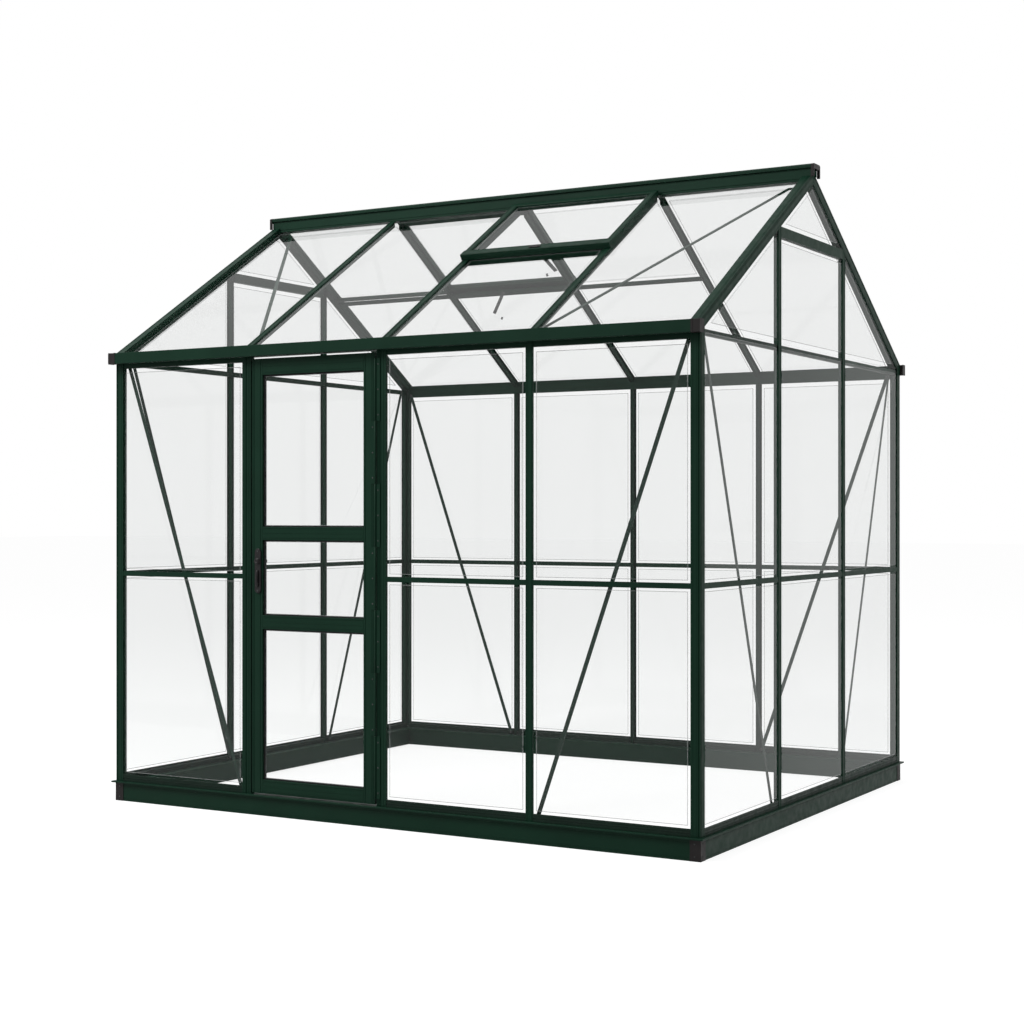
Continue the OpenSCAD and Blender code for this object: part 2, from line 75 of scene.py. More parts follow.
HALF_X = high("front_corner_posts").x
HALF_Y = high("back_corner_posts").y
POST_W = high("front_corner_posts").y - low("front_corner_posts").y
BASE_TOP = high("base_front").z
BASE_LIP = high("base_front").x - HALF_X
BASE_W = high("base_front").y + HALF_Y
PITCH = (low("front_stud").x + high("front_stud").x) / 2
FLANGE_W = high("front_stud").x - low("front_stud").x
STUD_D = high("front_stud").y - low("front_stud").y
GABLE_MID = high("gable_studs").y - FLANGE_W / 2
EAVE_Z = low("back_eave_beam").z
GUTTER_Z = low("front_gutter").z
GUTTER_TOP = high("front_gutter").z
GUTTER_D = -HALF_Y - low("front_gutter").y
GUTTER_END = high("front_gutter").x
DOOR_LO, DOOR_HI = low("door_stiles"), high("door_stiles")
JAMB_L = (low("door_jamb_left").x, high("door_jamb_left").x)
JAMB_R = (low("door_jamb_right").x, high("door_jamb_right").x)
FLANGE_T = 3 * MM
WEB_W = 14 * MM
STILE_W = 50 * MM
ROOF = math.radians(32)
COS, SIN = math.cos(ROOF), math.sin(ROOF)
APEX_Z = high("left_gable_rafters").z + 0.3 * MM * math.tan(ROOF)
RAFTER_TOP = -14 * MM
GABLE_RAFTER_D = 38 * MM
RIDGE_WEB = 26 * MM
SLOPE_END = (HALF_Y + 10 * MM) / COS + 12 * MM


def roof_z(y, t):
    """Height of the plane t above the gable rafters, at distance y from the ridge line."""
    return APEX_Z - abs(y) * SIN / COS + t / COS


def wall(name):
    """Places points of a wall: along it, inwards from its outer face, and up."""
    return {
        "front": lambda a, d, z: Vector((a, d - HALF_Y, z)),
        "back": lambda a, d, z: Vector((a, HALF_Y - d, z)),
        "left": lambda a, d, z: Vector((d - HALF_X, a, z)),
        "right": lambda a, d, z: Vector((HALF_X - d, a, z)),
    }[name]


def slope(side):
    """Places points of a roof slope: along X, down the slope and out of it."""
    return lambda x, s, t: Vector((x, side * (s * COS + t * SIN), APEX_Z - s * SIN + t * COS))


# ---------- materials ----------

def new_material(name):
    mat = bpy.data.materials.new(name)
    mat.use_nodes = True
    tree = mat.node_tree
    tree.nodes.clear()
    return mat, tree, tree.nodes.new("ShaderNodeOutputMaterial")


def noise(tree, scale, detail=3.0):
    coord = tree.nodes.new("ShaderNodeTexCoord")
    node = tree.nodes.new("ShaderNodeTexNoise")
    node.inputs["Scale"].default_value = scale
    node.inputs["Detail"].default_value = detail
    tree.links.new(coord.outputs["Object"], node.inputs["Vector"])
    return node.outputs["Fac"]


def ramp(tree, source, dark, light, start=0.3, stop=0.7):
    node = tree.nodes.new("ShaderNodeValToRGB")
    node.color_ramp.elements[0].position = start
    node.color_ramp.elements[0].color = (*dark, 1)
    node.color_ramp.elements[1].position = stop
    node.color_ramp.elements[1].color = (*light, 1)
    tree.links.new(source, node.inputs["Fac"])
    return node.outputs["Color"]


def spread(tree, source, low_value, high_value):
    node = tree.nodes.new("ShaderNodeMapRange")
    node.inputs["From Min"].default_value = 0.3
    node.inputs["From Max"].default_value = 0.7
    node.inputs["To Min"].default_value = low_value
    node.inputs["To Max"].default_value = high_value
    tree.links.new(source, node.inputs["Value"])
    return node.outputs["Result"]


def coated(name, dark, light, rough, specular, grain, depth, metallic=0.0):
    """Painted or moulded surface: cloudy colour, uneven gloss and a fine grain."""
    mat, tree, out = new_material(name)
    shader = tree.nodes.new("ShaderNodeBsdfPrincipled")
    shader.inputs["Specular IOR Level"].default_value = specular
    shader.inputs["Metallic"].default_value = metallic
    tree.links.new(ramp(tree, noise(tree, 6.0), dark, light), shader.inputs["Base Color"])
    tree.links.new(spread(tree, noise(tree, 35.0), *rough), shader.inputs["Roughness"])
    bump = tree.nodes.new("ShaderNodeBump")
    bump.inputs["Strength"].default_value = 0.25
    bump.inputs["Distance"].default_value = depth
    tree.links.new(noise(tree, grain, 2.0), bump.inputs["Height"])
    tree.links.new(bump.outputs["Normal"], shader.inputs["Normal"])
    tree.links.new(shader.outputs[0], out.inputs["Surface"])
    return mat


def clear(name, tint, ior, streak):
    """Thin clear sheet: tinted see-through with a mirror share on its outer faces."""
    mat, tree, out = new_material(name)
    through = tree.nodes.new("ShaderNodeBsdfTransparent")
    tree.links.new(
        ramp(tree, noise(tree, 2.5), [t - streak for t in tint], tint), through.inputs["Color"]
    )
    mirror = tree.nodes.new("ShaderNodeBsdfGlossy")
    mirror.inputs["Roughness"].default_value = 0.04
    fresnel = tree.nodes.new("ShaderNodeFresnel")
    fresnel.inputs["IOR"].default_value = ior
    geometry = tree.nodes.new("ShaderNodeNewGeometry")
    outside = tree.nodes.new("ShaderNodeMath")
    outside.operation = "SUBTRACT"
    outside.inputs[0].default_value = 1.0
    tree.links.new(geometry.outputs["Backfacing"], outside.inputs[1])
    share = tree.nodes.new("ShaderNodeMath")
    share.operation = "MULTIPLY"
    tree.links.new(fresnel.outputs[0], share.inputs[0])
    tree.links.new(outside.outputs[0], share.inputs[1])
    mix = tree.nodes.new("ShaderNodeMixShader")
    tree.links.new(share.outputs[0], mix.inputs["Fac"])
    tree.links.new(through.outputs[0], mix.inputs[1])
    tree.links.new(mirror.outputs[0], mix.inputs[2])
    tree.links.new(mix.outputs[0], out.inputs["Surface"])
    return mat


GREEN = coated("green_powder_coat", (0.0032, 0.0195, 0.0105), (0.0045, 0.0240, 0.0130),
               (0.40, 0.54), 0.08, 1400.0, 0.05 * MM)
DEEP_GREEN = coated("deep_green_powder_coat", (0.0035, 0.0125, 0.0075),
                    (0.0050, 0.0170, 0.0105), (0.40, 0.55), 0.12, 1400.0, 0.05 * MM)
BRACE_GREEN = coated("brace_green_coat", (0.0075, 0.0230, 0.0150), (0.0105, 0.0300, 0.0200),
                     (0.38, 0.52), 0.16, 1100.0, 0.05 * MM)
BLACK = coated("black_moulded_plastic", (0.0085, 0.0070, 0.0070), (0.0125, 0.0105, 0.0105),
               (0.42, 0.60), 0.16, 900.0, 0.08 * MM)
HANDLE = coated("black_handle_plastic", (0.0070, 0.0060, 0.0065), (0.0100, 0.0090, 0.0095),
                (0.30, 0.46), 0.20, 1200.0, 0.06 * MM)
# Near-black bead colour: part rubber, part painted shade of the rebate beside the door panes.
RUBBER_AND_SHADE = coated("black_rubber_bead_and_painted_shade", (0.0040, 0.0042, 0.0042), (0.0065, 0.0068, 0.0068),
                (0.60, 0.78), 0.20, 600.0, 0.05 * MM)
STEEL = coated("dark_zinc_steel", (0.022, 0.024, 0.024), (0.045, 0.048, 0.047),
               (0.30, 0.50), 0.50, 700.0, 0.05 * MM, 0.6)
PANE = clear("clear_polycarbonate", (0.962, 0.965, 0.964), 1.33, 0.004)
STRIP = clear("clear_glazing_strip", (0.992, 0.993, 0.993), 1.10, 0.002)


def pane_edge():
    """Cut edge of a pane: pale grey and partly see-through."""
    mat, tree, out = new_material("pane_cut_edge")
    shader = tree.nodes.new("ShaderNodeBsdfPrincipled")
    shader.inputs["Roughness"].default_value = 0.35
    shader.inputs["Alpha"].default_value = 0.55
    tree.links.new(
        ramp(tree, noise(tree, 40.0), (0.18, 0.19, 0.19), (0.36, 0.38, 0.37)),
        shader.inputs["Base Color"],
    )
    tree.links.new(shader.outputs[0], out.inputs["Surface"])
    return mat


EDGE = pane_edge()


# ---------- mesh helpers ----------

# A groove's mouth and floor as shares of its stated width to either side of its middle,
# and its floor as a share of its stated depth
GROOVE_MOUTH, GROOVE_FLOOR, GROOVE_DEPTH = 0.8, 0.6, 1.3


def grooved(points, grooves=None, chamfer=0.6 * MM):
    """Section drawn anticlockwise: its outward corners are chamfered, and grooves holds,
    by the number of the side, the place, width and depth of each groove in that side."""
    n, ring = len(points), []
    corners = [Vector(p) for p in points]

    def outward(i):
        a, b = corners[i] - corners[i - 1], corners[(i + 1) % n] - corners[i]
        return a.x * b.y - a.y * b.x > 0

    for i in range(n):
        start, end = corners[i], corners[(i + 1) % n]
        run = (end - start).normalized()
        inwards = Vector((-run.y, run.x))
        ring.append(start + run * (chamfer if outward(i) else 0))
        for place, width, depth in sorted((grooves or {}).get(i, [])):
            mid = start + run * place
            ring.append(mid - run * width * GROOVE_MOUTH)
            ring.append(mid - run * width * GROOVE_FLOOR + inwards * depth * GROOVE_DEPTH)
            ring.append(mid + run * width * GROOVE_FLOOR + inwards * depth * GROOVE_DEPTH)
            ring.append(mid + run * width * GROOVE_MOUTH)
        ring.append(end - run * (chamfer if outward((i + 1) % n) else 0))
    return [p for i, p in enumerate(ring) if (p - ring[i - 1]).length > 1e-6]


def rect(u0, v0, u1, v1):
    return [(u0, v0), (u1, v0), (u1, v1), (u0, v1)]


def extrude(bm, section, place, start, end, index=0):
    """Closed bar with its section carried by place(u, v, w) from start to end, which are
    numbers or functions of the section's own point."""
    rings = []
    for limit in (start, end):
        rings.append([
            bm.verts.new(place(p[0], p[1], limit(p[0], p[1]) if callable(limit) else limit))
            for p in section
        ])
    faces = [bm.faces.new(rings[0]), bm.faces.new(rings[1][::-1])]
    for i in range(len(section)):
        j = (i + 1) % len(section)
        faces.append(bm.faces.new((rings[0][i], rings[0][j], rings[1][j], rings[1][i])))
    for face in faces:
        face.material_index = index


def lathe(bm, profile, base, axis, segments=20, index=0):
    """Round solid: profile holds (radius, height) pairs, from the base up the axis."""
    axis = axis.normalized()
    side = axis.orthogonal().normalized()
    other = axis.cross(side)
    rings = []
    for radius, height in profile:
        if radius <= 1e-7:
            rings.append([bm.verts.new(base + axis * height)])
            continue
        rings.append([
            bm.verts.new(base + axis * height + radius * (
                side * math.cos(2 * math.pi * k / segments)
                + other * math.sin(2 * math.pi * k / segments)))
            for k in range(segments)
        ])
    if len(rings[0]) > 1:
        bm.faces.new(rings[0][::-1]).material_index = index
    if len(rings[-1]) > 1:
        bm.faces.new(rings[-1]).material_index = index
    for a, b in zip(rings, rings[1:]):
        for k in range(segments):
            m = (k + 1) % segments
            loop = [a[k % len(a)], a[m % len(a)], b[m % len(b)], b[k % len(b)]]
            loop = [v for i, v in enumerate(loop) if v not in loop[:i]]
            if len(loop) > 2:
                face = bm.faces.new(loop)
                face.material_index = index
                face.smooth = True


def screw(bm, base, axis, radius=4 * MM, height=2.4 * MM, index=0):
    """Pan-head screw with a socket in its head."""
    r, h = radius, height
    lathe(bm, [(r, 0), (r, 0.35 * h), (0.8 * r, 0.85 * h), (0.5 * r, h), (0.38 * r, h),
               (0.32 * r, 0.45 * h), (0, 0.45 * h)], base, axis, 14, index)


def tube(bm, path, radius, segments=14):
    """Round bar along a list of points, closed at both ends."""
    rings = []
    for i, point in enumerate(path):
        run = (path[min(i + 1, len(path) - 1)] - path[max(i - 1, 0)]).normalized()
        side = run.cross(Vector((1, 0, 0))).normalized()
        other = run.cross(side)
        rings.append([
            bm.verts.new(point + radius * (side * math.cos(2 * math.pi * k / segments)
                                           + other * math.sin(2 * math.pi * k / segments)))
            for k in range(segments)
        ])
    bm.faces.new(rings[0][::-1])
    bm.faces.new(rings[-1])
    for a, b in zip(rings, rings[1:]):
        for k in range(segments):
            m = (k + 1) % segments
            bm.faces.new((a[k], a[m], b[m], b[k])).smooth = True


def piece(name, bm, materials, replaced=(), body="frame"):
    bmesh.ops.recalc_face_normals(bm, faces=bm.faces)
    mesh = bpy.data.meshes.new(name)
    bm.to_mesh(mesh)
    bm.free()
    for mat in materials:
        mesh.materials.append(mat)
    obj = bpy.data.objects.new(name, mesh)
    scene.collection.objects.link(obj)
    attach(obj, body)
    if replaced:
        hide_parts(*replaced)
    return obj


def islands(node):
    """The separate solids of a CAD node, each as its corner points and its broadest face's normal."""
    bm = bmesh.new()
    bm.from_mesh(NODES[node].data)
    bmesh.ops.remove_doubles(bm, verts=bm.verts, dist=0.01 * MM)
    left, found = set(bm.verts), []
    while left:
        todo, group = [next(v for v in bm.verts if v in left)], set()
        while todo:
            vert = todo.pop()
            if vert not in group:
                group.add(vert)
                todo += [e.other_vert(vert) for e in vert.link_edges]
        left -= group
        faces = {f for v in group for f in v.link_faces}
        areas = {}
        for f in faces:
            key = tuple(round(c, 3) for c in f.normal)
            areas[key] = areas.get(key, 0) + f.calc_area()
        best = max(sorted(areas), key=lambda k: round(areas[k], 6))
        found.append(([v.co.copy() for v in sorted(group, key=lambda v: v.index)],
                      Vector(best).normalized()))
    bm.free()
    return found


# ---------- glazing ----------

def inset(loop, gap):
    """Convex anticlockwise loop of 2-D points with every side moved inwards by gap."""
    lines = []
    for i, a in enumerate(loop):
        run = (loop[(i + 1) % len(loop)] - a).normalized()
        lines.append((a + Vector((-run.y, run.x)) * gap, run))
    moved = []
    for i, (q, e) in enumerate(lines):
        p, d = lines[i - 1]
        k = ((q - p).x * e.y - (q - p).y * e.x) / (d.x * e.y - d.y * e.x)
        moved.append(p + d * k)
    return moved


def outline(points, normal):
    """Outline of a flat solid seen along its normal, with the two axes it is drawn in."""
    u = normal.orthogonal().normalized()
    v = normal.cross(u)
    flat = [Vector((p.dot(u), p.dot(v))) for p in points]
    loop = [flat[i] for i in convex_hull_2d(flat)]
    loop = [p for i, p in enumerate(loop) if (p - loop[i - 1]).length > 0.1 * MM]
    kept = []
    for i, p in enumerate(loop):
        a, b = p - loop[i - 1], loop[(i + 1) % len(loop)] - p
        if abs(a.x * b.y - a.y * b.x) > 1e-3 * a.length * b.length:
            kept.append(p)
    area = sum(kept[i - 1].x * p.y - kept[i - 1].y * p.x for i, p in enumerate(kept))
    return (kept if area > 0 else kept[::-1]), u, v


def glazing(node, strip, body="frame"):
    """Panes of one CAD node, each with a clear strip round it and a visible cut edge."""
    bm = bmesh.new()
    line = 1.8 * MM
    for points, normal in islands(node):
        loop, u, v = outline(points, normal)
        heights = [p.dot(normal) for p in points]
        loops = [loop, inset(loop, strip), inset(loop, strip + line)]
        sides = []
        for height in (min(heights), max(heights)):
            sides.append([
                [bm.verts.new(u * p.x + v * p.y + normal * height) for p in ring] for ring in loops
            ])
        n = len(loop)
        for rings in sides:
            bm.faces.new(rings[2]).material_index = 0
            for k, index in ((0, 1), (1, 2)):
                for i in range(n):
                    j = (i + 1) % n
                    bm.faces.new((rings[k][i], rings[k][j], rings[k + 1][j],
                                  rings[k + 1][i])).material_index = index
        for i in range(n):
            j = (i + 1) % n
            bm.faces.new((sides[0][0][i], sides[0][0][j], sides[1][0][j],
                          sides[1][0][i])).material_index = 1
    piece(node + "_panes", bm, [PANE, STRIP, EDGE], [node], body)


for name in ("front_wall_glazing", "back_wall_glazing", "left_gable_glazing",
             "right_gable_glazing", "front_roof_glazing", "back_roof_glazing"):
    glazing(name, 17 * MM)
glazing("roof_vent_glazing", 6 * MM)
glazing("door_glazing", 5 * MM, "door")


# ---------- base, sills and posts ----------

def base():
    """Base profile with its lip, chamfered arrises and pressed lines, mitred at the corners."""
    lip_z = BASE_TOP - 6 * MM
    section = grooved(
        [(0, 0), (0, lip_z), (-BASE_LIP, lip_z), (-BASE_LIP, BASE_TOP), (BASE_W, BASE_TOP),
         (BASE_W, 0)][::-1],
        {4: [(lip_z - 9 * MM, 1.6 * MM, 0.8 * MM), (10 * MM, 1.2 * MM, 0.6 * MM)],
         1: [(BASE_W - 8 * MM, 2 * MM, 1 * MM)]}, 0.8 * MM)
    for side, half in (("front", HALF_X), ("back", HALF_X), ("left", HALF_Y), ("right", HALF_Y)):
        at = wall(side)
        bm = bmesh.new()
        extrude(bm, section, lambda d, z, a: at(a, d, z),
                lambda d, z: d - half + 0.2 * MM, lambda d, z: half - d - 0.2 * MM)
        piece("base_%s_profile" % side, bm, [GREEN], ["base_" + side])


def corner_covers():
    """Plastic angles on the base corners, with a small screw near the top of each leg."""
    leg, t, top = 40 * MM, 2 * MM, BASE_TOP - 6 * MM
    ring = grooved([(-t, -t), (leg - t, -t), (leg - t, 0), (0, 0), (0, leg - t), (-t, leg - t)],
                   None, 0.7 * MM)
    bm = bmesh.new()
    for sx in (-1, 1):
        for sy in (-1, 1):
            extrude(bm, ring, lambda u, v, z: Vector((sx * (HALF_X - u), sy * (HALF_Y - v), z)),
                    0.4 * MM, top - 0.3 * MM)
            for z in (top - 14 * MM, 16 * MM):
                screw(bm, Vector((sx * (HALF_X - 20 * MM), sy * (HALF_Y + t), z)),
                      Vector((0, sy, 0)), 3 * MM, 1.4 * MM, 1)
                screw(bm, Vector((sx * (HALF_X + t), sy * (HALF_Y - 20 * MM), z)),
                      Vector((sx, 0, 0)), 3 * MM, 1.4 * MM, 1)
    piece("base_corner_angles", bm, [BLACK, STEEL], ["base_corner_covers"])


def sill_spans(side):
    """Ends of each length of sill along a wall."""
    post = (HALF_X if side in ("front", "back") else HALF_Y) - POST_W
    if side == "front":
        edges = [(-post, JAMB_L[0]), (JAMB_R[1], PITCH - FLANGE_W / 2),
                 (PITCH + FLANGE_W / 2, post)]
    elif side == "back":
        cuts = [-PITCH, 0.0, PITCH]
        edges = list(zip([-post] + [c + FLANGE_W / 2 for c in cuts],
                         [c - FLANGE_W / 2 for c in cuts] + [post]))
    else:
        edges = [(-post, -GABLE_MID - FLANGE_W / 2),
                 (-GABLE_MID + FLANGE_W / 2, GABLE_MID - FLANGE_W / 2),
                 (GABLE_MID + FLANGE_W / 2, post)]
    return edges


def sills():
    """Sill profile with a grooved outer face below its lip."""
    b, d = BASE_TOP, FLANGE_T
    section = grooved(
        [(STUD_D, b), (STUD_D, b + 20 * MM), (d, b + 20 * MM), (d, b + 28 * MM),
         (1 * MM, b + 28 * MM), (1 * MM, b)],
        {4: [(8 * MM, 1.6 * MM, 1.2 * MM), (17 * MM, 3 * MM, 1.5 * MM)]}, 0.4 * MM)
    bm = bmesh.new()
    for side in ("front", "back", "left", "right"):
        at = wall(side)
        for a0, a1 in sill_spans(side):
            extrude(bm, section, lambda u, v, a: at(a, u, v), a0, a1)
    piece("wall_sill_profiles", bm, [DEEP_GREEN], ["wall_sills"])


def corner_posts():
    """Corner angles: a groove beside the corner and two fine lines on each face."""
    w, t, s, d = POST_W, FLANGE_T, 4.5 * MM, STUD_D
    lines = [(6 * MM, 2.6 * MM, 1.6 * MM), (13 * MM, 0.9 * MM, 0.5 * MM),
             (27 * MM, 0.9 * MM, 0.5 * MM)]
    mirrored = [(w - place, width, depth) for place, width, depth in lines]
    ring = grooved(
        [(0, 0), (w, 0), (w, t), (w - 8 * MM, t), (w - 8 * MM, t + s), (w, t + s), (w, d),
         (d, d), (d, w), (t + s, w), (t + s, w - 8 * MM), (t, w - 8 * MM), (t, w), (0, w)],
        {0: lines, 13: mirrored}, 0.7 * MM)
    for side, sy in (("front", -1), ("back", 1)):
        bm = bmesh.new()
        for sx in (-1, 1):
            extrude(bm, ring,
                    lambda u, v, z: Vector((sx * (HALF_X - u), sy * (HALF_Y - v), z)),
                    BASE_TOP, lambda u, v: roof_z(HALF_Y - v, -GABLE_RAFTER_D) - 0.2 * MM)
        piece(side + "_corner_angles", bm, [GREEN], [side + "_corner_posts"])


def flange(mid):
    """Outer flange of a stud, with a shallow screw channel between two fine lines."""
    w = FLANGE_W
    return grooved(rect(mid - w / 2, 0, mid + w / 2, FLANGE_T),
                   {0: [(3.5 * MM, 0.9 * MM, 0.5 * MM), (w / 2, 7 * MM, 0.8 * MM),
                        (w - 3.5 * MM, 0.9 * MM, 0.5 * MM)]}, 0.5 * MM)


def studs():
    """T-section studs of the long walls and the gables."""
    for node, side, mids in (("front_stud", "front", [PITCH]),
                             ("back_studs", "back", [-PITCH, 0.0, PITCH])):
        at = wall(side)
        bm = bmesh.new()
        for mid in mids:
            extrude(bm, flange(mid), lambda u, v, z: at(u, v, z), BASE_TOP, GUTTER_Z)
            extrude(bm, grooved(rect(mid - WEB_W / 2, FLANGE_T, mid + WEB_W / 2, STUD_D),
                                {2: [(WEB_W / 2, 4 * MM, 2 * MM)]}),
                    lambda u, v, z: at(u, v, z), BASE_TOP, EAVE_Z)
        piece(node + "_profile", bm, [GREEN], [node])
    bm = bmesh.new()
    for side in ("left", "right"):
        at = wall(side)
        for mid in (-GABLE_MID, GABLE_MID):
            for ring in (flange(mid),
                         grooved(rect(mid - WEB_W / 2, FLANGE_T, mid + WEB_W / 2, STUD_D),
                                 {2: [(WEB_W / 2, 4 * MM, 2 * MM)]})):
                extrude(bm, ring, lambda u, v, z: at(u, v, z), BASE_TOP,
                        lambda u, v: roof_z(u, -GABLE_RAFTER_D) - 0.2 * MM)
    piece("gable_stud_profiles", bm, [GREEN], ["gable_studs"])


def jambs():
    """Door jambs: a dark slot in the left one and ribs on the right one."""
    step = FLANGE_W / 2 - WEB_W / 2
    faces = {
        "left": [(9 * MM, 1 * MM, 0.6 * MM), (20 * MM, 4 * MM, 2.2 * MM),
                 (29 * MM, 1.2 * MM, 0.7 * MM), (34 * MM, 1.2 * MM, 0.7 * MM)],
        "right": [(7 * MM, 2 * MM, 1.4 * MM), (13 * MM, 2 * MM, 1.4 * MM),
                  (19 * MM, 2 * MM, 1.4 * MM), (31 * MM, 1 * MM, 0.6 * MM)],
    }
    at = wall("front")
    for side, (x0, x1) in (("left", JAMB_L), ("right", JAMB_R)):
        bm = bmesh.new()
        extrude(bm, grooved(rect(x0, 0, x1, FLANGE_T), {0: faces[side]}, 0.5 * MM),
                lambda u, v, z: at(u, v, z), BASE_TOP, GUTTER_Z)
        w0, w1 = (x0 + step, x1) if side == "left" else (x0, x1 - step)
        extrude(bm, grooved(rect(w0, FLANGE_T, w1, STUD_D),
                            {2: [((w1 - w0) / 2, 8 * MM, 3 * MM)]}),
                lambda u, v, z: at(u, v, z), BASE_TOP, EAVE_Z)
        piece("door_jamb_%s_profile" % side, bm, [GREEN], ["door_jamb_" + side])


base()
corner_covers()
sills()
corner_posts()
studs()
jambs()


# ---------- gutters, ridge and rafters ----------

def gutters():
    """Open gutters with a rolled front edge."""
    h, d = GUTTER_TOP - GUTTER_Z, GUTTER_D
    ring = [(0, 0), (d - 1.5 * MM, 0), (d, 1.5 * MM), (d, h - 1 * MM), (d - 1 * MM, h),
            (d - 4 * MM, h), (d - 4.6 * MM, h - 1 * MM), (d - 4.6 * MM, h - 4 * MM),
            (d - 2 * MM, h - 4.6 * MM), (d - 2 * MM, 3 * MM), (d - 3 * MM, 2 * MM), (2 * MM, 2 * MM),
            (2 * MM, 11 * MM), (0, 11 * MM)]
    for side, sy in (("front", -1), ("back", 1)):
        bm = bmesh.new()
        extrude(bm, ring, lambda u, v, x: Vector((x, sy * (HALF_Y + u), GUTTER_Z + v)),
                -GUTTER_END, GUTTER_END)
        piece(side + "_gutter_channel", bm, [GREEN], [side + "_gutter"])


def gutter_ends():
    """Moulded stop ends with softened edges and a shallow band near the mouth."""
    lo, hi = low("gutter_end_caps"), high("gutter_end_caps")
    ring = grooved(rect(0, lo.z, hi.y - HALF_Y, hi.z), None, 2 * MM)
    slim = grooved(rect(0.8 * MM, lo.z + 0.8 * MM, hi.y - HALF_Y - 0.8 * MM, hi.z - 0.8 * MM),
                   None, 2 * MM)
    bm = bmesh.new()
    for sx in (-1, 1):
        for sy in (-1, 1):
            def at(u, v, a):
                return Vector((sx * a, sy * (HALF_Y + u), v))
            extrude(bm, ring, at, GUTTER_END, GUTTER_END + 7 * MM)
            extrude(bm, slim, at, GUTTER_END + 7 * MM, hi.x - 3 * MM)
            extrude(bm, ring, at, hi.x - 3 * MM, hi.x)
    piece("gutter_stop_ends", bm, [BLACK], ["gutter_end_caps"])


def ridge():
    """Ridge: a recessed web under a capping with a drip groove on each side."""
    lo, hi = low("ridge_beam"), high("ridge_beam")
    web, cap = RIDGE_WEB, hi.y
    under = hi.z - 16 * MM
    shoulder = roof_z(web, 0)
    at = lambda y, z, x: Vector((x, y, z))
    bm = bmesh.new()
    post_x = HALF_X - POST_W
    extrude(bm, grooved(rect(-web, lo.z, web, under),
                        {1: [(8 * MM, 3 * MM, 1.5 * MM)],
                         3: [(under - lo.z - 8 * MM, 3 * MM, 1.5 * MM)]}, 0.8 * MM),
            at, -post_x, post_x)
    for x0, x1 in ((-hi.x, -post_x), (post_x, hi.x)):
        extrude(bm, [(-web, shoulder), (0, APEX_Z), (web, shoulder), (web, under), (-web, under)],
                at, x0, x1)
    extrude(bm, grooved([(-cap, under), (cap, under), (cap, hi.z - 5 * MM), (cap - 8 * MM, hi.z),
                         (8 * MM - cap, hi.z), (-cap, hi.z - 5 * MM)],
                        {0: [(4 * MM, 2 * MM, 1 * MM), (2 * cap - 4 * MM, 2 * MM, 1 * MM)],
                         1: [(3.5 * MM, 1 * MM, 0.5 * MM)], 5: [(7.5 * MM, 1 * MM, 0.5 * MM)],
                         3: [(14 * MM, 1.4 * MM, 0.7 * MM),
                             (2 * cap - 30 * MM, 1.4 * MM, 0.7 * MM)]}, 0.6 * MM),
            at, -hi.x, hi.x)
    piece("ridge_profile", bm, [GREEN], ["ridge_beam"])
    lo, hi = low("ridge_end_caps"), high("ridge_end_caps")
    ring = grooved([(-36 * MM, lo.z), (-28 * MM, lo.z), (-28 * MM, hi.z - 20 * MM),
                    (28 * MM, hi.z - 20 * MM), (28 * MM, lo.z), (36 * MM, lo.z),
                    (36 * MM, hi.z - 4 * MM), (28 * MM, hi.z), (-28 * MM, hi.z),
                    (-36 * MM, hi.z - 4 * MM)], None, 1 * MM)
    bm = bmesh.new()
    for sx in (-1, 1):
        extrude(bm, ring, lambda y, z, x: Vector((sx * x, y, z)), hi.x - 11 * MM, hi.x - 1 * MM)
        extrude(bm, [p * 0.97 + Vector((0, hi.z - 10 * MM)) * 0.03 for p in ring],
                lambda y, z, x: Vector((sx * x, y, z)), hi.x - 1 * MM, hi.x)
        screw(bm, Vector((sx * (hi.x - 0.5 * MM), 0, hi.z - 10 * MM)), Vector((sx, 0, 0)),
              3 * MM, 0.5 * MM)
    piece("ridge_stop_ends", bm, [BLACK], ["ridge_end_caps"])


def gable_rafters():
    """Gable rafters: box sections with a ribbed strip along the upper outer edge."""
    x0, x1, d = HALF_X - POST_W, HALF_X, GABLE_RAFTER_D
    joint = 0.3 * MM
    ring = grooved([(x0, -d), (x1, -d), (x1, 0), (x0, 0)],
                   {1: [(d - 4 * MM, 1.2 * MM, 0.8 * MM), (d - 8 * MM, 1.2 * MM, 0.8 * MM),
                        (d - 12 * MM, 1.2 * MM, 0.8 * MM), (8 * MM, 1 * MM, 0.6 * MM)],
                    2: [(5 * MM, 1.2 * MM, 0.8 * MM), (10 * MM, 1.2 * MM, 0.8 * MM)],
                    3: [(d / 2, 6 * MM, 2 * MM)]}, 0.6 * MM)
    for name, sx in (("left", -1), ("right", 1)):
        bm = bmesh.new()
        for side in (-1, 1):
            at = slope(side)
            extrude(bm, ring, lambda u, t, s: at(sx * u, s, t),
                    lambda u, t: (joint - t * SIN) / COS,
                    lambda u, t: (HALF_Y - t * SIN) / COS)
        piece(name + "_gable_rafter_profiles", bm, [GREEN],
              [name + "_gable_rafters"])


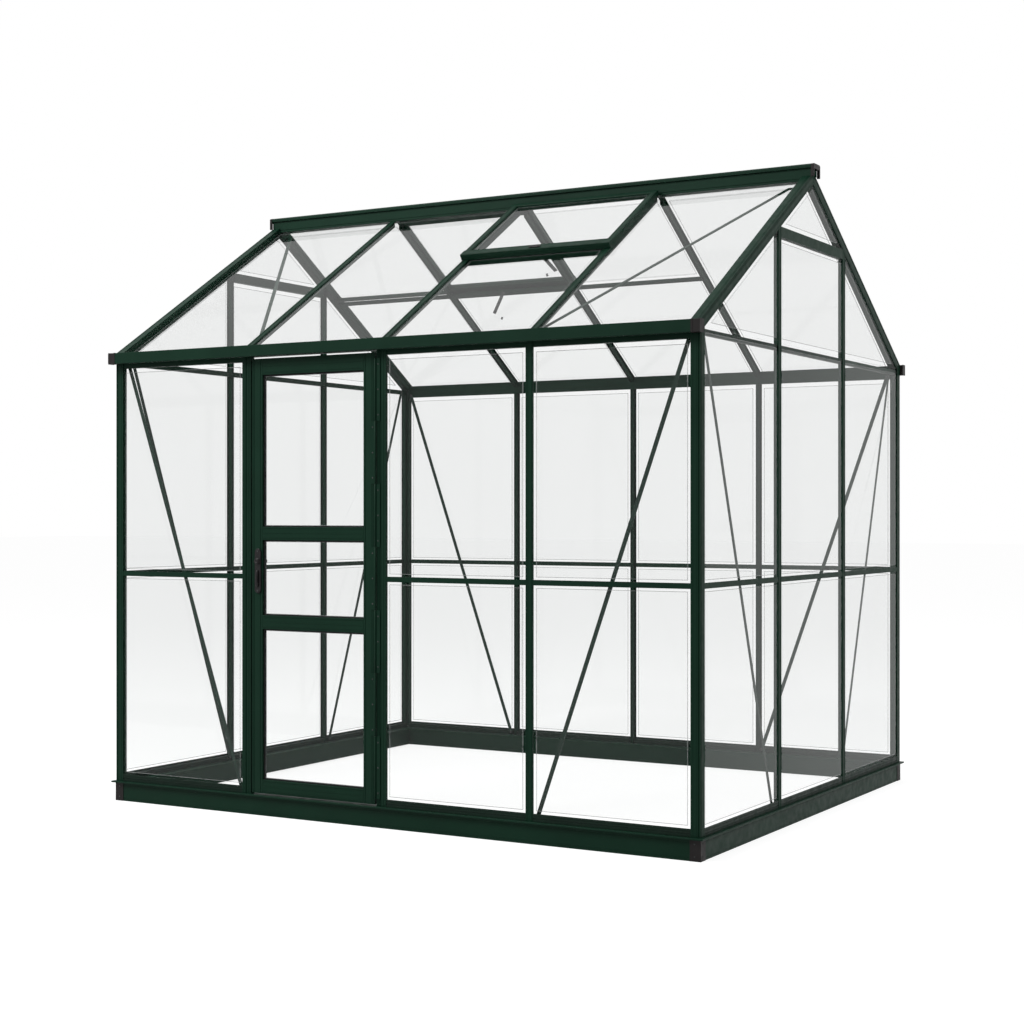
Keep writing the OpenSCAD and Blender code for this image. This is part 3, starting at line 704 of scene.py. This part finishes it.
def rafters():
    """Intermediate rafters: a lined flange over a web, with a screw and clip at each foot."""
    under = RAFTER_TOP - FLANGE_T
    for name, side in (("front", -1), ("back", 1)):
        at = slope(side)
        bm = bmesh.new()
        for mid in (-PITCH, 0.0, PITCH):
            w = FLANGE_W
            ring = grooved(rect(mid - w / 2, under, mid + w / 2, RAFTER_TOP),
                           {2: [(3.5 * MM, 1 * MM, 0.6 * MM), (w / 2, 8 * MM, 0.9 * MM),
                                (w - 3.5 * MM, 1 * MM, 0.6 * MM)]}, 0.5 * MM)
            extrude(bm, ring, lambda u, t, s: at(u, s, t),
                    lambda u, t: (RIDGE_WEB - t * SIN) / COS, SLOPE_END)
            ring = grooved(rect(mid - WEB_W / 2, RAFTER_TOP - 24 * MM, mid + WEB_W / 2, under),
                           {0: [(WEB_W / 2, 4 * MM, 2 * MM)]}, 0.5 * MM)
            extrude(bm, ring, lambda u, t, s: at(u, s, t),
                    lambda u, t: (RIDGE_WEB - t * SIN) / COS,
                    lambda u, t: (HALF_Y - STUD_D - t * SIN) / COS)
            out = at(0, 0, 1) - at(0, 0, 0)
            screw(bm, at(mid, SLOPE_END - 46 * MM, RAFTER_TOP - 0.6 * MM), out, 4.5 * MM,
                  3.4 * MM, 1)
            extrude(bm, grooved(rect(mid - 8 * MM, SLOPE_END - 26 * MM, mid + 8 * MM,
                                     SLOPE_END - 6 * MM), None, 2 * MM),
                    lambda u, s, t: at(u, s, t), RAFTER_TOP - 0.5 * MM, RAFTER_TOP + 3 * MM, 1)
        piece(name + "_rafter_profiles", bm, [GREEN, BLACK], [name + "_rafters"])


gutters()
gutter_ends()
ridge()
gable_rafters()
rafters()


# ---------- roof vents ----------

def vent_frames():
    """Vent frames with lined bars, and a screwed catch plate on the foot bar."""
    for node in ("roof_vent_end_bars", "roof_vent_side_bars"):
        bm = bmesh.new()
        for points, _ in islands(node):
            side = 1 if sum(p.y for p in points) > 0 else -1
            at = slope(side)
            local = [(p.x, abs(p.y) * COS - (p.z - APEX_Z) * SIN,
                      abs(p.y) * SIN + (p.z - APEX_Z) * COS) for p in points]
            (x0, x1), (s0, s1), (t0, t1) = [(min(c), max(c)) for c in zip(*local)]
            lines = [(5 * MM, 1.2 * MM, 0.7 * MM)]
            if node == "roof_vent_end_bars":
                lines.append((s1 - s0 - 5 * MM, 1.2 * MM, 0.7 * MM))
                ring = grooved(rect(s0, t0, s1, t1),
                               {2: lines, 1: [(8 * MM, 2 * MM, 1 * MM)],
                                3: [(t1 - t0 - 8 * MM, 2 * MM, 1 * MM)]}, 1 * MM)
                extrude(bm, ring, lambda s, t, x: at(x, s, t), x0, x1)
                if s0 > 200 * MM:
                    mid = (x0 + x1) / 2
                    extrude(bm, grooved(rect(mid - 24 * MM, s0 + 12 * MM, mid + 24 * MM,
                                             s0 + 30 * MM), None, 3 * MM),
                            lambda u, s, t: at(u, s, t), t1 - 0.5 * MM, t1 + 3 * MM, 1)
                    out = at(0, 0, 1) - at(0, 0, 0)
                    for dx in (-15 * MM, 15 * MM):
                        screw(bm, at(mid + dx, s0 + 21 * MM, t1 + 3 * MM), out, 4 * MM,
                              2.4 * MM, 2)
            else:
                lines.append((x1 - x0 - 5 * MM, 1.2 * MM, 0.7 * MM))
                ring = grooved(rect(x0, t0, x1, t1), {2: lines}, 1 * MM)
                extrude(bm, ring, lambda x, t, s: at(x, s, t), s0, s1)
        piece(node + "_profile", bm, [GREEN, BLACK, STEEL], [node])


def vent_stays():
    """Perforated stay arms with a bolt at each end, and the pegs that they hook to."""
    bm = bmesh.new()
    for points, normal in islands("roof_vent_stays"):
        centre = sum(points, Vector()) / len(points)
        span = max((p - q).length for p in points for q in points)
        if span < 40 * MM:
            side = 1 if centre.y > 0 else -1
            out = slope(side)(0, 0, 1) - slope(side)(0, 0, 0)
            reach = max((p - centre).dot(out) for p in points)
            lathe(bm, [(5 * MM, 0), (5 * MM, 1.5 * MM), (2.6 * MM, 2 * MM),
                       (2.6 * MM, 2 * reach - 2 * MM), (4.6 * MM, 2 * reach - 1.5 * MM),
                       (4.6 * MM, 2 * reach)], centre - out * reach, out, 18)
            continue
        a, b = max(((p, q) for p in points for q in points),
                   key=lambda pair: round((pair[0] - pair[1]).length, 6))
        run = (b - a).normalized()
        side = normal.cross(run)
        mid = (a + b) / 2
        mid += normal * (centre - mid).dot(normal)
        mid += side * (centre - mid).dot(side)
        half, t = span / 2, 1.2 * MM
        at = lambda u, v, h: mid + run * u + side * v + normal * h
        holes = 6
        pitch = 2 * (half - 9 * MM) / (holes - 1)
        edge, hole = 7.2 * MM, 2.6 * MM
        for k in range(holes):
            c = -half + 9 * MM + k * pitch
            box_half = pitch / 2
            ring_out, ring_in = [], []
            for n in range(16):
                ang = 2 * math.pi * n / 16
                dx, dy = math.cos(ang), math.sin(ang)
                scale = min(box_half / max(abs(dx), 1e-6), edge / max(abs(dy), 1e-6))
                ring_out.append((c + dx * scale, dy * scale))
                ring_in.append((c + dx * hole, dy * hole))
            lists = [[bm.verts.new(at(u, v, h)) for u, v in ring]
                     for ring in (ring_out, ring_in) for h in (-t, t)]
            for n in range(16):
                m = (n + 1) % 16
                for p, q in ((0, 1), (1, 3), (3, 2), (2, 0)):
                    bm.faces.new((lists[p][n], lists[p][m], lists[q][m], lists[q][n]))
        for u in (-half + 9 * MM, half - 9 * MM):
            screw(bm, at(u, 0, -t), -normal, 4 * MM, 2 * MM)
    piece("roof_vent_stay_arms", bm, [STEEL], ["roof_vent_stays"])


vent_frames()
vent_stays()


# ---------- door ----------

def door_leaf():
    """Stiles and rails with pressed lines on both faces and a near-black rubber bead round each pane,
    whose black also paints the shade in the rebate beside the glass.
    """
    w = STILE_W
    t = DOOR_HI.y - DOOR_LO.y
    at = wall("front")
    lines = [(6 * MM, 1.2 * MM, 0.8 * MM), (12 * MM, 1.2 * MM, 0.8 * MM),
             (w - 9 * MM, 1.6 * MM, 1 * MM)]
    flipped = [(w - p, g, d) for p, g, d in lines]
    bm = bmesh.new()
    for x0, front in ((DOOR_LO.x, lines), (DOOR_HI.x - w, flipped)):
        back = [(w - p, g, d) for p, g, d in front]
        side = {1: [(t / 2, 8 * MM, 2 * MM)], 3: [(t / 2, 8 * MM, 2 * MM)]}
        extrude(bm, grooved(rect(x0, 0, x0 + w, t), {0: front, 2: back, **side}, 1 * MM),
                lambda u, v, z: at(u, v, z), DOOR_LO.z, DOOR_HI.z)
    piece("door_stile_profiles", bm, [GREEN], ["door_stiles"], "door")
    x0, x1 = DOOR_LO.x + w, DOOR_HI.x - w
    bm = bmesh.new()
    spans = sorted((min(p.z for p in pts), max(p.z for p in pts))
                   for pts, _ in islands("door_rails"))
    for z0, z1 in spans:
        h = z1 - z0
        faces = [(7 * MM, 1.4 * MM, 0.9 * MM), (h / 2, 1 * MM, 0.5 * MM),
                 (h - 7 * MM, 1.4 * MM, 0.9 * MM)]
        extrude(bm, grooved(rect(0, z0, t, z1), {1: faces, 3: faces}, 1 * MM),
                lambda d, z, x: at(x, d, z), x0, x1)
    piece("door_rail_profiles", bm, [GREEN], ["door_rails"], "door")
    bm = bmesh.new()
    # Beads round each door pane: their near-black also paints the shade in the rebate beside the
    # glass.
    bead, rise = 5 * MM, 4 * MM
    pane_lo, pane_hi = low("door_glazing").y + HALF_Y, high("door_glazing").y + HALF_Y
    for (_, z0), (z1, _) in zip(spans, spans[1:]):
        for d0, d1 in ((pane_lo - rise, pane_lo), (pane_hi, pane_hi + rise)):
            for a0, a1 in ((x0, x0 + bead), (x1 - bead, x1)):
                extrude(bm, grooved(rect(a0, d0, a1, d1), None, 1 * MM),
                        lambda u, v, z: at(u, v, z), z0, z1)
            for b0, b1 in ((z0, z0 + bead), (z1 - bead, z1)):
                extrude(bm, grooved(rect(d0, b0, d1, b1), None, 1 * MM),
                        lambda d, z, x: at(x, d, z), x0 + bead, x1 - bead)
    piece("door_pane_beads", bm, [RUBBER_AND_SHADE], (), "door")


def hinges():
    """Hinge knuckles on screwed straps, about the hinge joint's axis."""
    axis = Vector(frame["joints"][0]["pos_m"])
    radius = 4 * MM
    for node, body in (("jamb_hinge_knuckles", "frame"), ("door_hinge_knuckles", "door")):
        bm = bmesh.new()
        for points, _ in islands(node):
            z0, z1 = min(p.z for p in points), max(p.z for p in points)
            x0, x1 = min(p.x for p in points), max(p.x for p in points)
            lathe(bm, [(radius - 0.5 * MM, 0), (radius, 0.5 * MM), (radius, z1 - z0 - 0.5 * MM),
                       (radius - 0.5 * MM, z1 - z0)],
                  Vector((axis.x, axis.y, z0)), Vector((0, 0, 1)), 28)
            s0, s1 = (axis.x, x1) if body == "frame" else (x0, axis.x)
            at = wall("front")
            extrude(bm, grooved(rect(s0, -2 * MM, s1, 0), None, 0.4 * MM),
                    lambda u, v, z: at(u, v, z), z0, z1)
            mid = axis.x + (12 * MM if body == "frame" else -12 * MM)
            for z in (z0 + 22 * MM, (z0 + z1) / 2, z1 - 22 * MM):
                screw(bm, at(mid, -2 * MM, z), Vector((0, -1, 0)), 3 * MM, 1.4 * MM, 1)
        piece(node + "_set", bm, [GREEN, STEEL], [node], body)


def handle():
    """Rounded back plate with a turning knob and a bowed grip, on both faces of the door."""
    lo, hi = low("door_handle"), high("door_handle")
    w, h = hi.x - lo.x, hi.z - lo.z
    mid, plate_t = (lo.x + hi.x) / 2, 6 * MM
    bm = bmesh.new()
    for face_y, out in ((DOOR_LO.y, -1), (DOOR_HI.y, 1)):
        normal = Vector((0, out, 0))
        arc = 12
        rings = []
        for shrink, rise in ((0, 0), (0, plate_t - 1.6 * MM), (0.5 * MM, plate_t - 0.6 * MM),
                             (1.6 * MM, plate_t)):
            r = w / 2 - shrink
            ring = []
            for k in range(arc + 1):
                a = math.pi * k / arc
                ring.append((r * math.cos(a), h / 2 - w / 2 + r * math.sin(a)))
            for k in range(arc + 1):
                a = math.pi + math.pi * k / arc
                ring.append((r * math.cos(a), w / 2 - h / 2 + r * math.sin(a)))
            rings.append([bm.verts.new(Vector((mid + u, face_y + out * rise,
                                               (lo.z + hi.z) / 2 + v))) for u, v in ring])
        bm.faces.new(rings[0][::-1])
        bm.faces.new(rings[-1])
        for a, b in zip(rings, rings[1:]):
            for k in range(len(a)):
                m = (k + 1) % len(a)
                bm.faces.new((a[k], a[m], b[m], b[k]))
        knob_z = hi.z - 48 * MM
        reach = abs((lo.y if out < 0 else hi.y) - face_y)
        lathe(bm, [(12 * MM, plate_t - 1 * MM), (12 * MM, plate_t + 3 * MM),
                   (11 * MM, plate_t + 4.5 * MM), (8.5 * MM, plate_t + 5 * MM),
                   (8.5 * MM, reach - 4 * MM), (9.8 * MM, reach - 3.2 * MM),
                   (9.8 * MM, reach - 1.2 * MM), (8.6 * MM, reach), (3.4 * MM, reach),
                   (2.8 * MM, reach - 2 * MM), (0, reach - 2 * MM)],
              Vector((mid, face_y, knob_z)), normal, 36)
        path = []
        for k in range(17):
            a = math.pi * k / 16
            path.append(Vector((mid, face_y + out * (3 * MM + 7.5 * MM * math.sin(a) ** 0.6),
                                lo.z + 55 * MM - 29 * MM * math.cos(a))))
        tube(bm, path, 5 * MM)
        for z in (lo.z + 9 * MM, hi.z - 11 * MM):
            screw(bm, Vector((mid, face_y + out * plate_t, z)), normal, 3.6 * MM, 1.6 * MM, 1)
    piece("door_handle_set", bm, [HANDLE, STEEL], ["door_handle"], "door")


door_leaf()
hinges()
handle()


# ---------- bolts on the braces ----------

def brace_bolts():
    """A bolt with a washer through each end of every flat brace, on its inner side."""
    bm = bmesh.new()
    middle = Vector((0, 0, BASE_TOP + 900 * MM))
    inset_end = 7.5 * MM
    for node in ("wall_braces", "roof_braces"):
        for points, normal in islands(node):
            a, b = max(((p, q) for p in points for q in points),
                       key=lambda pair: round((pair[0] - pair[1]).length, 6))
            centre = sum(points, Vector()) / len(points)
            inner = normal if normal.dot(middle - centre) > 0 else -normal
            face = max(p.dot(inner) for p in points)
            run = (b - a).normalized()
            for end, way in ((a, 1), (b, -1)):
                at = end + run * way * inset_end
                at += inner * (face - at.dot(inner))
                lathe(bm, [(6.5 * MM, 0), (6.5 * MM, 0.8 * MM), (3 * MM, 0.8 * MM)], at, inner, 18)
                screw(bm, at + inner * 0.8 * MM, inner, 4.5 * MM, 3 * MM)
    piece("brace_bolts", bm, [STEEL])


brace_bolts()

for node, mat in (("front_eave_beam", GREEN), ("back_eave_beam", GREEN),
                  ("gable_eave_bars", GREEN), ("gable_top_bars", GREEN), ("mid_rails", GREEN),
                  ("wall_braces", BRACE_GREEN), ("roof_braces", BRACE_GREEN),
                  ("roof_crossbars", GREEN)):
    NODES[node].data.materials.clear()
    NODES[node].data.materials.append(mat)


# ---------- studio ----------

def seen_directly(tree):
    """1 for rays from the camera, mirrors and glass, 0 for light."""
    path = tree.nodes.new("ShaderNodeLightPath")
    total = path.outputs["Is Camera Ray"]
    for other in ("Is Glossy Ray", "Is Transmission Ray"):
        add = tree.nodes.new("ShaderNodeMath")
        add.operation = "MAXIMUM"
        tree.links.new(total, add.inputs[0])
        tree.links.new(path.outputs[other], add.inputs[1])
        total = add.outputs[0]
    return total


FLOOR_SHADE = (0.30, 0.30, 0.30, 1)
FLOOR_GLOW = 0.82
SURROUND_LIGHT = 0.55


def floor():
    """Large pale floor that goes white away from the object and keeps its soft shadow."""
    mat, tree, out = new_material("studio_floor")
    diffuse = tree.nodes.new("ShaderNodeBsdfDiffuse")
    diffuse.inputs["Color"].default_value = FLOOR_SHADE
    glow = tree.nodes.new("ShaderNodeEmission")
    level = tree.nodes.new("ShaderNodeMath")
    level.operation = "MULTIPLY"
    level.inputs[1].default_value = FLOOR_GLOW
    tree.links.new(seen_directly(tree), level.inputs[0])
    tree.links.new(level.outputs[0], glow.inputs["Strength"])
    total = tree.nodes.new("ShaderNodeAddShader")
    tree.links.new(diffuse.outputs[0], total.inputs[0])
    tree.links.new(glow.outputs[0], total.inputs[1])
    tree.links.new(total.outputs[0], out.inputs["Surface"])
    bm = bmesh.new()
    reach = 60.0
    bm.faces.new([bm.verts.new((x, y, 0)) for x, y in rect(-reach, -reach, reach, reach)])
    mesh = bpy.data.meshes.new("studio_floor")
    bm.to_mesh(mesh)
    bm.free()
    mesh.materials.append(mat)
    obj = bpy.data.objects.new("studio_floor", mesh)
    scene.collection.objects.link(obj)


def world():
    """White surround for the camera, mirrors and glass, and a softer one for the lighting."""
    sky = bpy.data.worlds.new("studio")
    scene.world = sky
    sky.use_nodes = True
    tree = sky.node_tree
    tree.nodes.clear()
    out = tree.nodes.new("ShaderNodeOutputWorld")
    plain = tree.nodes.new("ShaderNodeBackground")
    plain.inputs["Color"].default_value = (1, 1, 1, 1)
    plain.inputs["Strength"].default_value = 1.0
    light = tree.nodes.new("ShaderNodeBackground")
    light.inputs["Color"].default_value = (1, 1, 1, 1)
    light.inputs["Strength"].default_value = SURROUND_LIGHT
    mix = tree.nodes.new("ShaderNodeMixShader")
    tree.links.new(seen_directly(tree), mix.inputs["Fac"])
    tree.links.new(light.outputs[0], mix.inputs[1])
    tree.links.new(plain.outputs[0], mix.inputs[2])
    tree.links.new(mix.outputs[0], out.inputs["Surface"])


def lamp(name, place, target, size, power):
    data = bpy.data.lights.new(name, "AREA")
    data.shape = "DISK"
    data.size = size
    data.energy = power
    obj = bpy.data.objects.new(name, data)
    obj.location = place
    obj.rotation_euler = (Vector(target) - Vector(place)).to_track_quat("-Z", "Y").to_euler()
    scene.collection.objects.link(obj)


CAMERA_PLACE = (3.646, -6.387, 1.140)
CAMERA_TURN = math.radians(30.05)
CAMERA_LENS = 62.73
CAMERA_SENSOR = 36


def camera():
    """Level camera off the right front corner, turned as the photograph's vanishing points say."""
    data = bpy.data.cameras.new("camera")
    data.lens = CAMERA_LENS
    data.sensor_width = CAMERA_SENSOR
    data.shift_y = 0.001
    obj = bpy.data.objects.new("camera", data)
    obj.location = CAMERA_PLACE
    obj.rotation_euler = (math.radians(90), 0, CAMERA_TURN)
    scene.collection.objects.link(obj)
    scene.camera = obj


floor()
world()
lamp("key", (-3.0, -4.5, 6.0), (0, 0, 0.8), 3.0, 420)
lamp("fill", (5.0, 1.5, 5.5), (0, 0, 0.8), 4.0, 110)
camera()
scene.view_settings.view_transform = "Standard"
scene.cycles.transparent_max_bounces = 48
scene.cycles.max_bounces = 10
